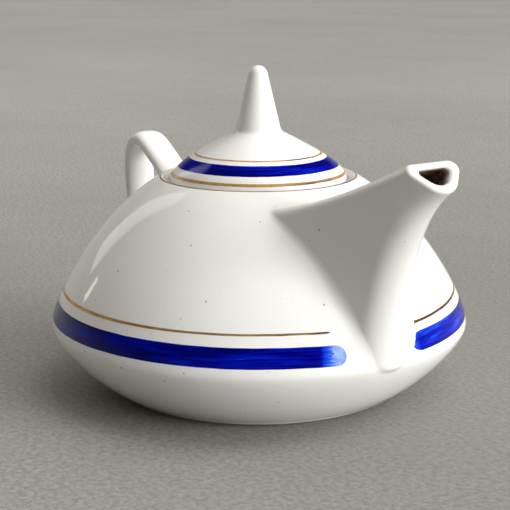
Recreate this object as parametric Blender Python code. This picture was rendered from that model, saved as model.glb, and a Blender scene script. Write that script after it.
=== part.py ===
"""A low, wide porcelain teapot: a slip-cast body on a foot ring, with a spout and a strap handle luted on,
and a loose lid made of a dome, a locating collar and a tall cone finial.

The pot's own axis is vertical. The spout points along +X and the handle along -X, so the XZ plane is the
plane of symmetry. The pot stands on z = 0, and its axis is moved along X so that the whole teapot is
centred on the origin. Lengths are in metres.
"""

import math

import bmesh
import bpy

# The pot. Radii are measured from the pot's axis, and heights from the table.
BELLY_RADIUS = 0.0855
BELLY_HEIGHT = 0.0270
RIM_RADIUS = 0.0396
RIM_HEIGHT = 0.0863
RIM_ROUNDING = 0.0012
SHOULDER_SLOPE = math.radians(28)
FOOT_RADIUS = 0.0584
FOOT_SLOPE = math.radians(26)
FOOT_WIDTH = 0.0062
FOOT_HEIGHT = 0.0012
BASE_RISE = 0.0012
WALL = 0.0035

# The recessed seat inside the rim, and the throat below it.
SEAT_RADIUS = 0.0374
SEAT_HEIGHT = 0.0834
THROAT_RADIUS = 0.0326
THROAT_DEPTH = 0.0034

# The lid.
LID_RADIUS = 0.0360
LID_EDGE_HEIGHT = 0.0854
LID_WALL = 0.0030
LID_SLOPE = math.radians(27)
COLLAR_RADIUS = 0.0316
COLLAR_WALL = 0.0030
COLLAR_DEPTH = 0.0085
VENT_RADIUS = 0.0013
VENT_PLACE = 0.0190

# The finial, and the flat on the dome that it stands on.
FINIAL_BASE_RADIUS = 0.0104
FINIAL_BASE_HEIGHT = 0.1038
FINIAL_TOP = 0.1306
FINIAL_TIP_RADIUS = 0.0040
FINIAL_TAPER = math.radians(13.3)
FINIAL_FLARE = 0.0022
FINIAL_WALL = 0.0034

# The spout. Its top edge and its keel are two curves in the plane of symmetry, measured from the pot's
# axis, and every cross-section is a rounded triangle that hangs from the one to the other.
SPOUT_TOP = ((0.0413, 0.0812), (0.0595, 0.0837), (0.0833, 0.0952), (0.1037, 0.1045))
SPOUT_KEEL = ((0.0868, 0.0272), (0.0880, 0.0530), (0.0918, 0.0808), (0.1138, 0.0954))
SPOUT_ROOT_HALF_WIDTH = 0.0246
SPOUT_MOUTH_HALF_WIDTH = 0.0115
SPOUT_CORNER_RADIUS = 0.0034
SPOUT_MOUTH_KEEL_RADIUS = 0.0088
SPOUT_ROOT_KEEL_RADIUS = 0.0120
SPOUT_INNER_CORNER = 0.0012
SPOUT_TOE = 0.0020
SPOUT_WALL = 0.0030
SPOUT_STATIONS = 11

# The strainer: rows of holes through the body's wall, inside the root of the spout.
STRAINER_ROWS = (4, 3, 2)
STRAINER_PITCH = 0.0072
STRAINER_HOLE_RADIUS = 0.0020
STRAINER_CENTRE = (0.0690, 0.0585)
STRAINER_TILT = math.radians(37)

# The strap handle: the line through the middle of its thickness, measured from the pot's axis.
HANDLE_RISE = ((-0.0520, 0.0676), (-0.0660, 0.0762), (-0.0815, 0.0886), (-0.0885, 0.0909))
HANDLE_TURN = ((-0.0885, 0.0909), (-0.0948, 0.0930), (-0.0996, 0.0870), (-0.0996, 0.0795))
HANDLE_FALL = ((-0.0996, 0.0795), (-0.0996, 0.0640), (-0.0992, 0.0495), (-0.0735, 0.0480))
HANDLE_HALF_WIDTH = 0.0073
HANDLE_HALF_THICKNESS = 0.0035
HANDLE_ROOT_FLARE = 0.35
HANDLE_FLARE_LENGTH = 0.0280

JOINT_GAP = 0.0003
ROUND_STEPS = 48
LID_STEPS = 40
FINIAL_STEPS = 24

SPOUT_REACH = SPOUT_KEEL[-1][0]
HANDLE_REACH = HANDLE_HALF_THICKNESS - HANDLE_FALL[0][0]
POT_X = (HANDLE_REACH - SPOUT_REACH) / 2


def bezier(p0, p1, p2, p3, count):
    """count points along a cubic Bezier curve in a plane, both ends included."""
    points = []
    for i in range(count):
        t = i / (count - 1)
        weights = ((1 - t) ** 3, 3 * t * (1 - t) ** 2, 3 * t * t * (1 - t), t**3)
        points.append(tuple(sum(w * p[k] for w, p in zip(weights, (p0, p1, p2, p3))) for k in (0, 1)))
    return points


def arc(centre, radius, start, end, count):
    """count points along an arc, with its angles in degrees from the first axis."""
    angles = [math.radians(start + (end - start) * i / (count - 1)) for i in range(count)]
    return [(centre[0] + radius * math.cos(a), centre[1] + radius * math.sin(a)) for a in angles]


def along(point, angle, distance):
    """The point that lies a distance away, at an angle in radians above the first axis."""
    return point[0] + distance * math.cos(angle), point[1] + distance * math.sin(angle)


def offset(line, distance):
    """A line moved to its left, as seen by someone who walks along it."""
    moved = []
    for i, (x, z) in enumerate(line):
        before, after = line[max(i - 1, 0)], line[min(i + 1, len(line) - 1)]
        dx, dz = after[0] - before[0], after[1] - before[1]
        length = math.hypot(dx, dz)
        moved.append((x - dz / length * distance, z + dx / length * distance))
    return moved


def porcelain(name, colour, roughness):
    made = bpy.data.materials.new(name)
    made.use_nodes = True
    shader = made.node_tree.nodes["Principled BSDF"]
    shader.inputs["Base Color"].default_value = (*colour, 1)
    shader.inputs["Roughness"].default_value = roughness
    shader.inputs["Metallic"].default_value = 0
    return made


def finish(name, bm, parent, material=None, cutter=False):
    """Turns a bmesh into an object that hangs on its parent's axis."""
    bmesh.ops.remove_doubles(bm, verts=bm.verts, dist=1e-6)
    bmesh.ops.recalc_face_normals(bm, faces=bm.faces)
    mesh = bpy.data.meshes.new(name)
    bm.to_mesh(mesh)
    bm.free()
    made = bpy.data.objects.new(name, mesh)
    bpy.context.scene.collection.objects.link(made)
    made.parent = parent
    if cutter:
        made.hide_render = True
        made.display_type = "WIRE"
        return made
    mesh.materials.append(material)
    mesh.shade_smooth()
    mesh.set_sharp_from_angle(angle=math.radians(35))
    return made


def turned(outline, steps, closed=True):
    """A solid of revolution about the Z axis, from an outline of radius and height."""
    bm = bmesh.new()
    corners = [bm.verts.new((radius, 0, height)) for radius, height in outline]
    pairs = zip(corners, corners[1:] + corners[:1]) if closed else zip(corners, corners[1:])
    edges = [bm.edges.new(pair) for pair in pairs]
    bmesh.ops.spin(
        bm, geom=corners + edges, cent=(0, 0, 0), axis=(0, 0, 1), angle=math.tau, steps=steps
    )
    return bm


def lofted(rings):
    """A closed skin over rings that have the same number of points, with a flat cap at each end."""
    bm = bmesh.new()
    loops = [[bm.verts.new(point) for point in ring] for ring in rings]
    for near, far in zip(loops, loops[1:]):
        for i in range(len(near)):
            j = (i + 1) % len(near)
            bm.faces.new((near[i], near[j], far[j], far[i]))
    bm.faces.new(loops[0][::-1])
    bm.faces.new(loops[-1])
    return bm


def cut(target, cutter):
    modifier = target.modifiers.new("cut_by_" + cutter.name, "BOOLEAN")
    modifier.operation = "DIFFERENCE"
    modifier.solver = "EXACT"
    modifier.object = cutter


def body_side():
    """The body's outer side, from the shoulder at the rim down to the top of the foot ring."""
    shoulder = (RIM_RADIUS + RIM_ROUNDING, RIM_HEIGHT - 0.2 * RIM_ROUNDING)
    belly = (BELLY_RADIUS, BELLY_HEIGHT)
    foot = (FOOT_RADIUS, 0)
    upper = bezier(
        shoulder,
        along(shoulder, -SHOULDER_SLOPE, 0.31 * BELLY_RADIUS),
        (BELLY_RADIUS, BELLY_HEIGHT + 0.117 * BELLY_RADIUS),
        belly,
        12,
    )
    lower = bezier(
        belly,
        (BELLY_RADIUS, BELLY_HEIGHT - 0.055 * BELLY_RADIUS),
        along(foot, FOOT_SLOPE, 0.17 * BELLY_RADIUS),
        foot,
        9,
    )
    base = FOOT_HEIGHT + JOINT_GAP
    above_base = [point for point in lower[1:] if point[1] > base + 0.0005]
    return upper + above_base + [(FOOT_RADIUS + base / math.tan(FOOT_SLOPE), base)]


def body_outline():
    """The body's whole section: outside, base, floor, inside, throat, seat and rim."""
    side = body_side()
    base = side[-1][1]
    inner_side = offset(side, -WALL)
    floor_height = base + WALL + BASE_RISE
    chamber = [p for p in inner_side if p[0] > THROAT_RADIUS + 3 * WALL and p[1] > floor_height + 0.0012]
    throat_bottom = SEAT_HEIGHT - THROAT_DEPTH
    underside = [
        (FOOT_RADIUS - FOOT_WIDTH, base),
        (FOOT_RADIUS - 2 * FOOT_WIDTH, base + BASE_RISE),
        (0, base + BASE_RISE),
    ]
    floor = [(0, floor_height), (0.72 * BELLY_RADIUS, floor_height)]
    throat = [
        (THROAT_RADIUS + 2 * WALL, throat_bottom - 0.35 * WALL),
        (THROAT_RADIUS, throat_bottom),
        (THROAT_RADIUS, SEAT_HEIGHT),
    ]
    seat = [(SEAT_RADIUS, SEAT_HEIGHT), (RIM_RADIUS - RIM_ROUNDING, RIM_HEIGHT - RIM_ROUNDING)]
    rim = arc((RIM_RADIUS, RIM_HEIGHT - RIM_ROUNDING), RIM_ROUNDING, 150, 60, 4)
    return side + underside + floor + chamber[::-1] + throat + seat + rim


def make_body(pot, glaze):
    body = finish("pot_body", turned(body_outline(), ROUND_STEPS), pot, glaze)
    across = (math.cos(STRAINER_TILT), math.sin(STRAINER_TILT))
    holes = bmesh.new()
    for row, count in enumerate(STRAINER_ROWS):
        rise = ((len(STRAINER_ROWS) - 1) / 2 - row) * STRAINER_PITCH * math.sin(math.radians(60))
        centre_x = STRAINER_CENTRE[0] - rise * across[1]
        centre_z = STRAINER_CENTRE[1] + rise * across[0]
        for place in range(count):
            y = (place - (count - 1) / 2) * STRAINER_PITCH
            rings = []
            for reach in (-4 * WALL, 4 * WALL):
                middle = (centre_x + reach * across[0], centre_z + reach * across[1])
                circle = arc((0, 0), STRAINER_HOLE_RADIUS, 0, 324, 10)
                rings.append(
                    [(middle[0] - v * across[1], y + u, middle[1] + v * across[0]) for u, v in circle]
                )
            loops = [[holes.verts.new(point) for point in ring] for ring in rings]
            for i in range(10):
                j = (i + 1) % 10
                holes.faces.new((loops[0][i], loops[0][j], loops[1][j], loops[1][i]))
            holes.faces.new(loops[0][::-1])
            holes.faces.new(loops[1])
    cut(body, finish("strainer_drills", holes, pot, cutter=True))
    return body


def make_foot(pot, biscuit):
    flare = FOOT_HEIGHT / math.tan(FOOT_SLOPE)
    outline = [
        (FOOT_RADIUS, 0),
        (FOOT_RADIUS + flare, FOOT_HEIGHT),
        (FOOT_RADIUS - FOOT_WIDTH, FOOT_HEIGHT),
        (FOOT_RADIUS - FOOT_WIDTH, 0),
    ]
    finish("foot_ring", turned(outline, ROUND_STEPS), pot, biscuit)


def body_space(pot):
    """The room that the body takes up, and the joint's gap: what is luted on stops at its surface."""
    side = offset(body_side(), JOINT_GAP)
    outline = [(0, RIM_HEIGHT), *side, (0, side[-1][1])]
    return finish("body_space", turned(outline, ROUND_STEPS, closed=False), pot, cutter=True)


def rounded_triangle(half_width, depth, keel, wall):
    """Points across and down of a triangle with a flat top and a round keel: the outline around three
    circles. With a wall, it is the outline of the channel that leaves that wall all round."""
    corner = SPOUT_CORNER_RADIUS
    side = (half_width - corner, corner)
    bottom = (0, depth - keel)
    dx, dz = bottom[0] - side[0], bottom[1] - side[1]
    facing = math.atan2(dz, dx) - math.acos((corner - keel) / math.hypot(dx, dz))
    if wall:
        corner = SPOUT_INNER_CORNER
        keel -= wall
        flank = bottom[1] * math.sin(facing) + keel - corner
        side = ((flank - (wall + corner) * math.sin(facing)) / math.cos(facing), wall + corner)
    turn = math.degrees(facing)
    outline = arc(side, corner, -90, turn, 5)
    outline += arc(bottom, keel, turn, 180 - turn, 9)
    return outline + arc((-side[0], side[1]), corner, 180 - turn, 270, 5)


def spout_rings(wall):
    """Cross-sections from inside the body, round the toe of the keel, and up to the mouth."""
    tops = bezier(*SPOUT_TOP, SPOUT_STATIONS)
    keels = bezier(*SPOUT_KEEL, SPOUT_STATIONS)
    rings = []
    for top, keel in zip(tops, keels):
        depth = math.hypot(keel[0] - top[0], keel[1] - top[1])
        down = ((keel[0] - top[0]) / depth, (keel[1] - top[1]) / depth)
        left = (SPOUT_TOP[3][0] - top[0]) / (SPOUT_TOP[3][0] - SPOUT_TOP[0][0])
        half_width = SPOUT_MOUTH_HALF_WIDTH + (SPOUT_ROOT_HALF_WIDTH - SPOUT_MOUTH_HALF_WIDTH) * left**2
        radius = SPOUT_MOUTH_KEEL_RADIUS + (SPOUT_ROOT_KEEL_RADIUS - SPOUT_MOUTH_KEEL_RADIUS) * left**2
        outline = rounded_triangle(half_width, depth, radius, wall)
        rings.append([(top[0] + q * down[0], y, top[1] + q * down[1]) for y, q in outline])
    toe = [[(x - back, y, z - SPOUT_TOE) for x, y, z in rings[0]] for back in (6 * SPOUT_TOE, SPOUT_TOE)]
    return [*toe, *rings]


def make_spout(pot, space, glaze):
    spout = finish("spout", lofted(spout_rings(0)), pot, glaze)
    channel = spout_rings(SPOUT_WALL)
    channel.append([(x + 2 * WALL, y, z + 2 * WALL) for x, y, z in channel[-1]])
    cut(spout, finish("spout_channel", lofted(channel), pot, cutter=True))
    cut(spout, space)


def make_handle(pot, space, glaze):
    """An oval strap swept along its line, wider where it joins the body."""
    line = bezier(*HANDLE_RISE, 8) + bezier(*HANDLE_TURN, 7)[1:] + bezier(*HANDLE_FALL, 10)[1:]
    passed = [0]
    for near, far in zip(line, line[1:]):
        passed.append(passed[-1] + math.dist(near, far))
    rings = []
    for i, (x, z) in enumerate(line):
        before, after = line[max(i - 1, 0)], line[min(i + 1, len(line) - 1)]
        length = math.dist(before, after)
        out = ((after[1] - before[1]) / length, (before[0] - after[0]) / length)
        near_root = max(0, 1 - min(passed[i], passed[-1] - passed[i]) / HANDLE_FLARE_LENGTH)
        wide = HANDLE_HALF_WIDTH * (1 + HANDLE_ROOT_FLARE * near_root**2)
        thick = HANDLE_HALF_THICKNESS * (1 + HANDLE_ROOT_FLARE * near_root**2)
        section = [(math.cos(a * math.tau / 16), math.sin(a * math.tau / 16)) for a in range(16)]
        rings.append([(x + out[0] * thick * c, wide * s, z + out[1] * thick * c) for c, s in section])
    cut(finish("handle", lofted(rings), pot, glaze), space)


def dome_top(count):
    """The lid's upper side, from its edge to the flat that the finial stands on."""
    edge = (LID_RADIUS, LID_EDGE_HEIGHT)
    flat = (FINIAL_BASE_RADIUS, FINIAL_BASE_HEIGHT)
    return bezier(edge, (LID_RADIUS, LID_EDGE_HEIGHT + 0.0042), along(flat, -LID_SLOPE, 0.0195), flat, count)


def make_dome(lid, glaze):
    top = dome_top(10)
    seat = SEAT_HEIGHT + JOINT_GAP
    inside = [p for p in offset(top, LID_WALL) if p[0] < COLLAR_RADIUS - 2 * COLLAR_WALL]
    hollow = FINIAL_BASE_RADIUS - FINIAL_WALL
    outline = [
        *top,
        (hollow, FINIAL_BASE_HEIGHT),
        (hollow, inside[-1][1]),
        *inside[::-1],
        (COLLAR_RADIUS - COLLAR_WALL, seat + LID_WALL + JOINT_GAP),
        (COLLAR_RADIUS + JOINT_GAP, seat + LID_WALL + JOINT_GAP),
        (COLLAR_RADIUS + JOINT_GAP, seat),
        (LID_RADIUS - 0.0010, seat),
    ]
    dome = finish("lid_dome", turned(outline, LID_STEPS), lid, glaze)
    slope = math.pi / 2 - LID_SLOPE
    middle = (-VENT_PLACE, FINIAL_BASE_HEIGHT - (VENT_PLACE - FINIAL_BASE_RADIUS) * math.tan(LID_SLOPE))
    circle = arc((0, 0), VENT_RADIUS, 0, 315, 8)
    drill = []
    for reach in (-2 * LID_WALL, 2 * LID_WALL):
        x, z = middle[0] - reach * math.cos(slope), middle[1] + reach * math.sin(slope)
        drill.append([(x + v * math.sin(slope), u, z + v * math.cos(slope)) for u, v in circle])
    cut(dome, finish("vent_drill", lofted(drill), lid, cutter=True))


def make_collar(lid, biscuit):
    top = SEAT_HEIGHT + LID_WALL
    outline = [
        (COLLAR_RADIUS, top),
        (COLLAR_RADIUS, SEAT_HEIGHT - COLLAR_DEPTH + 0.0008),
        (COLLAR_RADIUS - 0.0008, SEAT_HEIGHT - COLLAR_DEPTH),
        (COLLAR_RADIUS - COLLAR_WALL + 0.0008, SEAT_HEIGHT - COLLAR_DEPTH),
        (COLLAR_RADIUS - COLLAR_WALL, SEAT_HEIGHT - COLLAR_DEPTH + 0.0008),
        (COLLAR_RADIUS - COLLAR_WALL, top),
    ]
    finish("lid_collar", turned(outline, LID_STEPS), lid, biscuit)


def make_finial(lid, glaze):
    """A hollow cone with a round tip and a small flare at its foot, open below into the lid."""
    base = FINIAL_BASE_HEIGHT + JOINT_GAP
    slope = math.tan(FINIAL_TAPER)
    tip = (0, FINIAL_TOP - FINIAL_TIP_RADIUS)
    cap = arc(tip, FINIAL_TIP_RADIUS, 90, math.degrees(FINIAL_TAPER), 7)
    foot_radius = cap[-1][0] + (cap[-1][1] - base - FINIAL_FLARE) * slope
    flare = arc((foot_radius + FINIAL_FLARE, base + FINIAL_FLARE), FINIAL_FLARE, 180, 250, 4)
    hollow = FINIAL_BASE_RADIUS - FINIAL_WALL
    outline = [
        *cap,
        *flare,
        (flare[-1][0], base),
        (hollow, base),
        (FINIAL_TIP_RADIUS - 0.5 * FINIAL_WALL, tip[1] - 2 * FINIAL_WALL),
        (0, tip[1] - FINIAL_WALL),
    ]
    finish("lid_finial", turned(outline, FINIAL_STEPS), lid, glaze)


def empty(name, location, parent=None):
    made = bpy.data.objects.new(name, None)
    bpy.context.scene.collection.objects.link(made)
    made.location = location
    made.parent = parent
    return made


for old in list(bpy.data.objects):
    bpy.data.objects.remove(old)

pot_axis = empty("pot_axis", (POT_X, 0, 0))
lid_axis = empty("lid_axis", (0, 0, 0), pot_axis)
white = (0.86, 0.85, 0.82)

make_body(pot_axis, porcelain("body_glaze", white, 0.08))
make_foot(pot_axis, porcelain("foot_biscuit", (0.80, 0.78, 0.73), 0.65))
luting_space = body_space(pot_axis)
make_spout(pot_axis, luting_space, porcelain("spout_glaze", white, 0.08))
make_handle(pot_axis, luting_space, porcelain("handle_glaze", white, 0.08))
make_dome(lid_axis, porcelain("dome_glaze", white, 0.08))
make_collar(lid_axis, porcelain("collar_glaze", white, 0.30))
make_finial(lid_axis, porcelain("finial_glaze", white, 0.08))
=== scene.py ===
"""The looks of a low white porcelain teapot with brushed cobalt bands and fine gold lines.

Every piece is modelled about the pot's own vertical axis, in metres above the table, and is then set on
that axis and made to ride on the pot or on the lid.
"""

import math

import bmesh
import bpy
import numpy as np
from mathutils import Matrix, Vector, noise


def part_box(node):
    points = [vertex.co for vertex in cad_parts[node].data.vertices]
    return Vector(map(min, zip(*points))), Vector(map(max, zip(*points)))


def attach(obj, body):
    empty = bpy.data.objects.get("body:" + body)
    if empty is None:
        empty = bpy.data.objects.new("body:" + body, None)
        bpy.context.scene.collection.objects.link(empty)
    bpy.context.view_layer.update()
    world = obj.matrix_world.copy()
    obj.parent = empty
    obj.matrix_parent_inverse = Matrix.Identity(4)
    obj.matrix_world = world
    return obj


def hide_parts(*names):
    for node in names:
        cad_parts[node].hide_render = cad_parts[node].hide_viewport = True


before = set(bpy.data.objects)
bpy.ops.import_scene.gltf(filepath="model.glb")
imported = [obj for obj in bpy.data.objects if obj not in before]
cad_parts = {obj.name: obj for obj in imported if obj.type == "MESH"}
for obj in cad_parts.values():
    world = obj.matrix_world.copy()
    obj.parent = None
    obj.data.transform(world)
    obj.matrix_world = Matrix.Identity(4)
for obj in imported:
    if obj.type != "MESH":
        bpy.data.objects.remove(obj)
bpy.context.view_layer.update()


def radius_of(node):
    low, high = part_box(node)
    return (high.y - low.y) / 2


MM = 0.001
POT_LOW, POT_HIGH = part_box("pot_body")
AXIS_X = (POT_LOW.x + POT_HIGH.x) / 2
BELLY_RADIUS = radius_of("pot_body")
BELLY_HEIGHT = 0.316 * BELLY_RADIUS
RIM_TOP = POT_HIGH.z
RIM_RADIUS = 0.463 * BELLY_RADIUS
RIM_ROUNDING = 1.2 * MM
SHOULDER_SLOPE = math.radians(28)
FOOT_RADIUS = 0.683 * BELLY_RADIUS
FOOT_SLOPE = math.radians(26)
FOOT_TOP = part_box("foot_ring")[1].z
FOOT_BREADTH = 6.2 * MM
BASE = POT_LOW.z
BASE_RECESS = 1.2 * MM
WALL = 3.5 * MM

LID_RADIUS = radius_of("lid_dome")
LID_BOTTOM, LID_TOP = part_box("lid_dome")[0].z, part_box("lid_dome")[1].z
LID_EDGE = LID_BOTTOM + 1.7 * MM
LID_SLOPE = math.radians(27)
LID_WALL = 3.0 * MM
COLLAR_RADIUS = radius_of("lid_collar")
COLLAR_WALL = 3 * MM
COLLAR_BOTTOM, COLLAR_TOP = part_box("lid_collar")[0].z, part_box("lid_collar")[1].z
FINIAL_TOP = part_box("lid_finial")[1].z
FINIAL_FOOT = 10.4 * MM
FINIAL_TIP_RADIUS = 4.0 * MM
FINIAL_TAPER = math.radians(13.3)
FINIAL_HOLLOW = 7.0 * MM
FINIAL_FILLET = 3.2 * MM
FINIAL_SPLIT = LID_TOP + 3.2 * MM  # where the dome's piece ends and the finial's begins
VENT_DISTANCE = 19 * MM
VENT_RADIUS = 1.3 * MM

SEAT_HEIGHT = LID_BOTTOM - 0.3 * MM
SEAT_RADIUS = LID_RADIUS + 1.4 * MM
THROAT_RADIUS = COLLAR_RADIUS + 1.0 * MM
THROAT_DEPTH = 3.4 * MM

# The spout's top edge and keel, and the middle line of the handle, in the plane of symmetry.
SPOUT_TOP = ((0.0413, 0.0812), (0.0595, 0.0837), (0.0833, 0.0952), (0.1037, 0.1045))
SPOUT_KEEL = ((0.0868, 0.0272), (0.0880, 0.0530), (0.0918, 0.0808), (0.1138, 0.0954))
SPOUT_ROOT_HALF_WIDTH = 24.6 * MM
SPOUT_MOUTH_HALF_WIDTH = 11.5 * MM
SPOUT_CORNER = 3.4 * MM
SPOUT_MOUTH_KEEL_ROUND = 8.8 * MM
SPOUT_ROOT_KEEL_ROUND = 12.0 * MM
SPOUT_LIP = 0.8 * MM
SPOUT_INNER_CORNER = 1.2 * MM
SPOUT_TOE = 2.0 * MM
SPOUT_WALL = 3.0 * MM
SPOUT_FILLET = 2.6 * MM
SPOUT_FILLET_GAIN = 4.0 * MM  # how much wider the fillet is on both sides of the keel
SPOUT_RINGS = 130
HANDLE_RISE = ((-0.0520, 0.0676), (-0.0660, 0.0762), (-0.0815, 0.0886), (-0.0885, 0.0909))
HANDLE_TURN = ((-0.0885, 0.0909), (-0.0948, 0.0930), (-0.0996, 0.0870), (-0.0996, 0.0795))
HANDLE_FALL = ((-0.0996, 0.0795), (-0.0996, 0.0640), (-0.0992, 0.0495), (-0.0735, 0.0480))
HANDLE_HALF_WIDTH = 7.3 * MM
HANDLE_HALF_THICKNESS = 3.5 * MM
HANDLE_SQUARENESS = 0.85
HANDLE_FLARE = 0.35
HANDLE_FLARE_LENGTH = 28 * MM
HANDLE_FILLET = 5 * MM
STRAINER_ROWS = (4, 3, 2)
STRAINER_PITCH = 7.2 * MM
STRAINER_HOLE = 2.0 * MM
STRAINER_CENTRE = (0.0690, 0.0585)
STRAINER_TILT = math.radians(37)

# Where the paint lies: heights on the pot, radii on the lid, and where each stroke starts and stops.
BAND_HEIGHTS = (30.4 * MM, 37.5 * MM)
BAND_ENDS = (math.radians(7.9), math.radians(347.7))
GOLD_HEIGHT = 41.7 * MM
GOLD_ENDS = (math.radians(10.4), math.radians(344.3))
LID_BAND_RADII = (32.7 * MM, 28.0 * MM)
GOLD_BREADTH = 0.72 * MM
RIM_GOLD_BREADTH = 0.6 * MM
LID_GOLD_RADII = (35.25 * MM, 25.6 * MM)
LID_GOLD_BREADTHS = (1.25 * MM, 0.75 * MM)
PAINT = 0.03 * MM

# In degrees around the pot: where the cobalt holds the most paint, where the pot's gold line holds the most
# gold and is painted brighter, partly as a painted highlight, and where the lid's gold is painted
# brightest, as a painted highlight, and darkest, as painted shade.
DEEP_BLUE_AT = 255
GOLD_HIGHLIGHT_AT = 268
LID_GOLD_HIGHLIGHT_AT = 290
LID_GOLD_SHADE_AT = 6

# The camera stands before the spout, on its -Y side, a little above the lid, with a long lens. Its angles
# are in degrees: the azimuth runs from +X towards +Y, and the pan is how far it looks past the pot's axis.
CAMERA_AZIMUTH = -34.3
CAMERA_REACH = 518.5 * MM
CAMERA_HEIGHT = 170.9 * MM
CAMERA_LENS = 90.73
CAMERA_PAN = 0.162
CAMERA_PITCH = 12.849
CAMERA_ROLL = 0.263

AROUND = 256
DRILL_SIDES = 32
SHARP_ANGLE = math.radians(40)


# Lines and curves in a plane, as arrays of points.


def bezier(p0, p1, p2, p3, count, start=0.0, end=1.0):
    t = np.linspace(start, end, count)[:, None]
    p0, p1, p2, p3 = (np.array(p, float) for p in (p0, p1, p2, p3))
    return (1 - t) ** 3 * p0 + 3 * t * (1 - t) ** 2 * p1 + 3 * t * t * (1 - t) * p2 + t**3 * p3


def toward(point, angle, distance):
    return point[0] + distance * math.cos(angle), point[1] + distance * math.sin(angle)


def arc(centre, radius, start, end, count):
    angles = np.radians(np.linspace(start, end, count))
    return np.array(centre) + radius * np.stack([np.cos(angles), np.sin(angles)], 1)


def normals_left(line):
    """The unit normal at each point of a line, to the left of someone who walks along it."""
    step = np.gradient(line, axis=0)
    step /= np.linalg.norm(step, axis=1)[:, None]
    return np.stack([-step[:, 1], step[:, 0]], 1)


def rounded(corners, count=7):
    """A line through corners of (radius, height, rounding), with an arc in place of each rounded one."""
    points = []
    for i, (x, z, rounding) in enumerate(corners):
        here = Vector((x, z))
        if not rounding:
            points.append((x, z))
            continue
        before = (Vector(corners[i - 1][:2]) - here).normalized()
        after = (Vector(corners[i + 1][:2]) - here).normalized()
        half = before.angle(after) / 2
        centre = here + (before + after).normalized() * rounding / math.sin(half)
        first = here + before * rounding / math.tan(half) - centre
        last = here + after * rounding / math.tan(half) - centre
        turn = first.angle_signed(last)
        for k in range(count):
            spoke = Matrix.Rotation(-turn * k / (count - 1), 2) @ first
            points.append(tuple(centre + spoke))
    return np.array(points)


# Meshes.


def linked(name, data):
    """A new object in the scene, for a mesh, a lamp or a camera."""
    made = bpy.data.objects.new(name, data)
    bpy.context.scene.collection.objects.link(made)
    return made


def smoothed(mesh):
    mesh.shade_smooth()
    mesh.set_sharp_from_angle(angle=SHARP_ANGLE)


def on_axis(name, bm):
    """A smooth object from a bmesh about the pot's axis."""
    bmesh.ops.remove_doubles(bm, verts=bm.verts, dist=0.001 * MM)
    bmesh.ops.recalc_face_normals(bm, faces=bm.faces)
    mesh = bpy.data.meshes.new(name)
    bm.to_mesh(mesh)
    bm.free()
    smoothed(mesh)
    made = linked(name, mesh)
    made.location = (AXIS_X, 0, 0)
    return made


def add(name, bm, body, material, replaces=None):
    """A piece from a bmesh about the pot's axis, riding on a body."""
    made = on_axis(name, bm)
    made.data.materials.append(material)
    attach(made, body)
    if replaces:
        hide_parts(replaces)
    return made


def stain_and_painted_shade(target, amount):
    """Marks how brown each point is, from 0 to 1: brewing stains, and painted shade."""
    values = [min(max(amount(v.co), 0), 1) for v in target.data.vertices]
    target.data.attributes.new("stain_and_painted_shade", "FLOAT", "POINT").data.foreach_set("value", values)


def turned(outline):
    """A solid of revolution from a closed outline of radius and height."""
    bm = bmesh.new()
    corners = [bm.verts.new((max(r, 0), 0, z)) for r, z in outline]
    edges = [bm.edges.new(pair) for pair in zip(corners, corners[1:] + corners[:1])]
    bmesh.ops.spin(
        bm, geom=corners + edges, cent=(0, 0, 0), axis=(0, 0, 1), angle=math.tau, steps=AROUND
    )
    return bm


def gridded(columns):
    """A tube over columns of points, each of which runs along the tube."""
    bm = bmesh.new()
    rows = [[bm.verts.new(point) for point in row] for row in np.array(columns).transpose(1, 0, 2)]
    count = len(rows[0])
    for near, far in zip(rows, rows[1:]):
        for i in range(count):
            j = (i + 1) % count
            bm.faces.new((near[i], near[j], far[j], far[i]))
    return bm


def bore(target, drills):
    """Cuts straight round holes, each from a start to an end and with a radius, and applies the cut."""
    bm = bmesh.new()
    for start, end, radius in drills:
        along = (Vector(end) - Vector(start)).normalized()
        side = along.orthogonal().normalized()
        other = along.cross(side)
        rings = []
        for centre in (Vector(start), Vector(end)):
            angles = [math.tau * k / DRILL_SIDES for k in range(DRILL_SIDES)]
            ring = [centre + radius * (math.cos(a) * side + math.sin(a) * other) for a in angles]
            rings.append([bm.verts.new(point) for point in ring])
        for i in range(DRILL_SIDES):
            j = (i + 1) % DRILL_SIDES
            bm.faces.new((rings[0][i], rings[0][j], rings[1][j], rings[1][i]))
        bm.faces.new(rings[0][::-1])
        bm.faces.new(rings[1])
    drill = on_axis("drill", bm)
    modifier = target.modifiers.new("holes", "BOOLEAN")
    modifier.operation = "DIFFERENCE"
    modifier.solver = "EXACT"
    modifier.object = drill
    bpy.context.view_layer.update()
    graph = bpy.context.evaluated_depsgraph_get()
    cut = bpy.data.meshes.new_from_object(target.evaluated_get(graph))
    target.modifiers.clear()
    target.data = cut
    smoothed(cut)
    bpy.data.objects.remove(drill)


# The body's outer side, which the paint, the spout and the handle all lie on.

rim_centre = (RIM_RADIUS, RIM_TOP - RIM_ROUNDING)
shoulder = toward(rim_centre, math.pi / 2 - SHOULDER_SLOPE, RIM_ROUNDING)
belly = (BELLY_RADIUS, BELLY_HEIGHT)
foot = (FOOT_RADIUS, 0)
upper_side = bezier(
    shoulder,
    toward(shoulder, -SHOULDER_SLOPE, 0.31 * BELLY_RADIUS),
    (BELLY_RADIUS, BELLY_HEIGHT + 0.117 * BELLY_RADIUS),
    belly,
    500,
)
lower_side = bezier(
    belly,
    (BELLY_RADIUS, BELLY_HEIGHT - 0.055 * BELLY_RADIUS),
    toward(foot, FOOT_SLOPE, 0.17 * BELLY_RADIUS),
    foot,
    240,
)
side = np.vstack([upper_side, lower_side[1:]])
side_normals = normals_left(side)


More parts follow.
